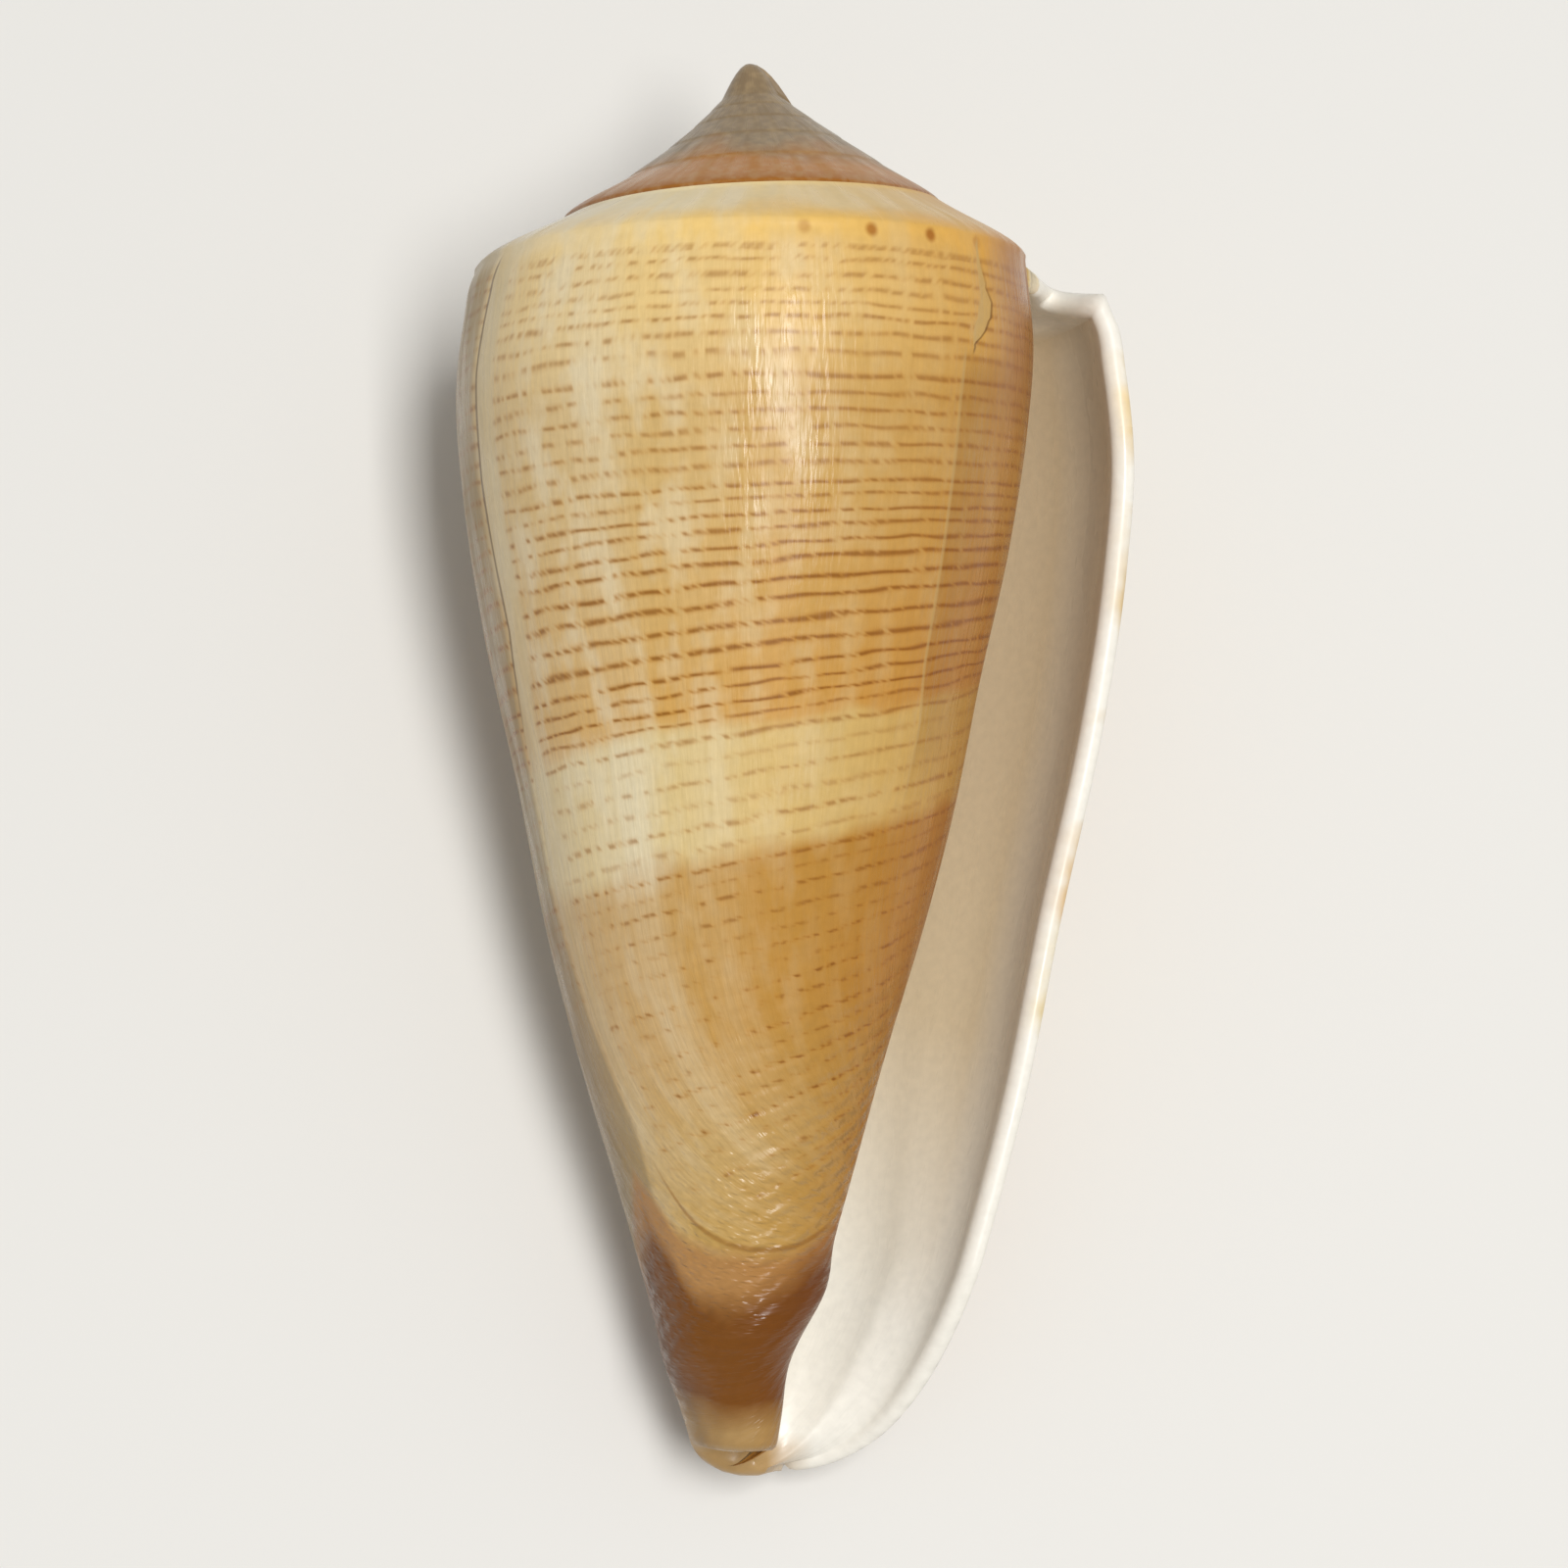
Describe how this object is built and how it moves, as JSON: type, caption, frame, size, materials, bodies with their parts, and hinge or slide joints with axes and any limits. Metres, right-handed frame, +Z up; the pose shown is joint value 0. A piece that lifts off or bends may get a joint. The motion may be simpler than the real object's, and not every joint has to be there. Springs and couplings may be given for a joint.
{
  "type": "cone shell",
  "caption": "Cone-shaped sea snail shell with a low stepped spire, a long tapering body whorl and a narrow open aperture behind a thin lip, lying on its back.",
  "frame": {"origin": "middle of the shell's bounding box, on the surface that it lies on", "axes": "+Z up, out of the aperture; +Y toward the apex of the spire; +X toward the outer lip"},
  "size_m": [0.0264, 0.0546, 0.0248],
  "materials": {
    "shell": "gloss"
  },
  "bodies": {
    "root": {"cone_shell": "shell"}
  },
  "joints": []
}
